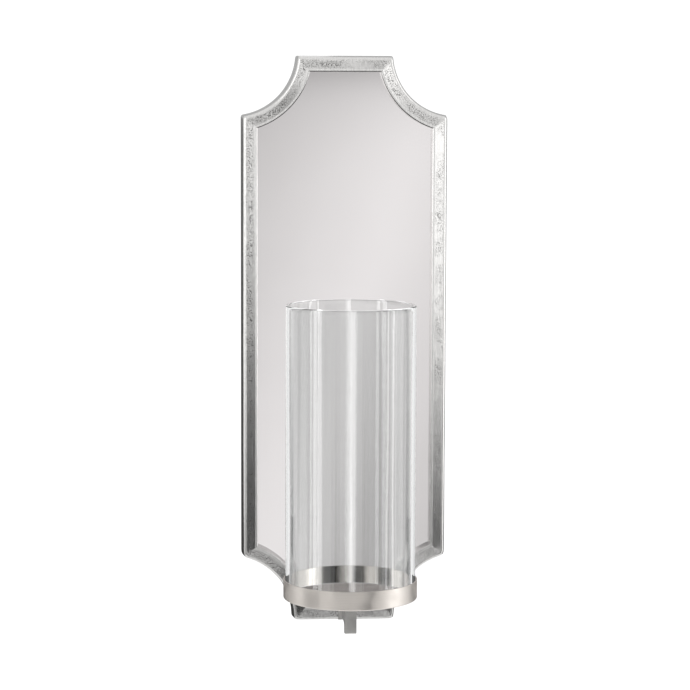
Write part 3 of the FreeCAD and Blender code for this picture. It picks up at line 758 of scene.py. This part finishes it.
def graded_material(name, stops):
    """A matt card that glows by its height in metres; stops are (height, strength)."""
    material, tree, shader = glow_material(name)
    height = part_of(tree, add(tree, "TexCoord").outputs["Object"], "Z")
    share = map_of(tree, height, TONES_LOW, TONES_HIGH)
    scaled = [((at - TONES_LOW) / (TONES_HIGH - TONES_LOW), tone) for at, tone in stops]
    feed(tree, shader, {"Emission Color": ramp_of(tree, share, scaled)})
    return material


def card(name, azimuth, distance, width, low, high, material):
    """An upright card between two heights that the metal reflects; it is never in view."""
    half = width / 2
    corners = [(-half, 0, low), (half, 0, low), (half, 0, high), (-half, 0, high)]
    thing = sheet(name, corners, material)
    thing.location = spot(azimuth, distance, 0.0)
    thing.rotation_euler = (0, 0, math.radians(azimuth))
    thing.visible_camera = False
    return thing


# the panel that the mirror shows: its ends, how far it is moved to the right, and on it
# the part that the sheen crosses, from its middle out and from low to high
PANEL_LOW, PANEL_HIGH = -1.5, 0.5
PANEL_SHIFT = 0.198
SHEEN_HALF = 0.167
SHEEN_LOW, SHEEN_HIGH = -0.925, 0.075
SHEEN_TONES = [(0.0, 1.0), (1.0, 0.66)]
PANEL_ENDS = [(0.26, 0.72), (0.32, 1.0), (0.725, 1.0), (0.775, 0.93), (0.81, 0.45)]


def mirror_panel_material():
    """A soft diagonal sheen for the mirror, dimmer above and below what the mirror shows."""
    material, tree, shader = glow_material("mirror_panel")
    where = add(tree, "SeparateXYZ", {"Vector": add(tree, "TexCoord").outputs["Object"]})
    across = map_of(tree, where.outputs["X"], -SHEEN_HALF, SHEEN_HALF, clamp=False)
    up = map_of(tree, where.outputs["Z"], SHEEN_LOW, SHEEN_HIGH, clamp=False)
    off = math_of(tree, "ABSOLUTE", math_of(tree, "SUBTRACT", across, up))
    share = map_of(tree, where.outputs["Z"], PANEL_LOW, PANEL_HIGH)
    glow = multiplied(tree, ramp_of(tree, off, SHEEN_TONES), ramp_of(tree, share, PANEL_ENDS))
    feed(tree, shader, {"Emission Color": glow})
    return material


floor = sheet("floor", [(-FLOOR_HALF, -FLOOR_HALF, 0), (FLOOR_HALF, -FLOOR_HALF, 0),
                        (FLOOR_HALF, FLOOR_HALF, 0), (-FLOOR_HALF, FLOOR_HALF, 0)],
              floor_material())
floor.location = (0, 0, cad_box[0].z - FLOOR_DROP)

world = bpy.data.worlds.new("studio")
world.use_nodes = True
room = world.node_tree
seen = add(room, "LightPath").outputs["Is Camera Ray"]
feed(room, room.nodes["Background"], {
    "Color": WHITE,
    "Strength": map_of(room, seen, 0.0, 1.0, ROOM_LIGHT, ROOM_SEEN),
})
scene.world = world

# soft boxes for the whole piece: azimuth, distance, height, size and power
strip_light("left_box", -64, 1.1, 0.45, (0.3, 1.3), 2.4)
strip_light("right_box", 70, 1.1, 0.1, (0.3, 1.9), 2.6)

# narrow upright strips that only shine back off the glass, one for each streak on it:
# name, azimuth, width and radiance
STREAKS = (("streak_left", -55.0, 0.11, 4.5), ("streak_middle", -0.5, 0.13, 3.2),
           ("streak_right", 57.5, 0.06, 4.5))
STREAK_DISTANCE = 1.0
STREAK_LEVEL = -0.25
STREAK_HEIGHT = 1.6
glass_only = bpy.data.collections.new("lit_by_streaks")
glass_only.objects.link(tube)
for name, azimuth, width, radiance in STREAKS:
    power = radiance * math.pi * width * STREAK_HEIGHT
    streak = strip_light(name, azimuth, STREAK_DISTANCE, STREAK_LEVEL, (width, STREAK_HEIGHT),
                         power)
    streak.light_linking.receiver_collection = glass_only
    streak.visible_transmission = False

# tones of the graded cards by height; each rail's face reflects the card on the other side
LEFT_RAIL_TONES = [(-0.80, 0.02), (-0.48, 0.03), (-0.39, 0.06), (-0.24, 0.36), (-0.09, 0.95),
                   (0.2, 0.95)]
RIGHT_RAIL_TONES = [(-0.80, 0.04), (-0.55, 0.05), (-0.48, 0.11), (-0.39, 0.46), (-0.26, 0.90),
                    (-0.09, 1.30)]
SIDE_TONES = [(-0.80, 0.05), (-0.50, 0.08), (-0.36, 0.25), (-0.20, 1.1), (0.2, 1.1)]
BACK_TONES = [(-0.50, 0.05), (-0.20, 0.09), (0.0, 0.15), (0.12, 0.45)]
LOW_TONE = 0.18

# cards: azimuth, distance, width, low and high
card("right_card", 30, 1.2, 0.68, -1.0, 0.25, graded_material("right_card", LEFT_RAIL_TONES))
card("left_card", -18, 1.18, 0.50, -1.0, 0.25, graded_material("left_card", RIGHT_RAIL_TONES))
card("side_card", -67, 1.0, 0.5, -1.0, -0.1, graded_material("side_card", SIDE_TONES))
low_material = glow_material("low_card", LOW_TONE)[0]
card("low_card_left", -128, 1.0, 0.6, -1.0, -0.455, low_material)
card("low_card_right", 122, 1.0, 0.6, -1.0, -0.455, low_material)
back_material = graded_material("back_card", BACK_TONES)
card("back_card_left", -155, 1.0, 0.9, -0.95, 0.65, back_material)
card("back_card_right", 150, 1.0, 1.0, -0.95, 0.65, back_material)
panel = card("mirror_panel", 0, 2.6, 0.9, PANEL_LOW, PANEL_HIGH, mirror_panel_material())
panel.location.x = PANEL_SHIFT

scene.view_settings.view_transform = "Standard"
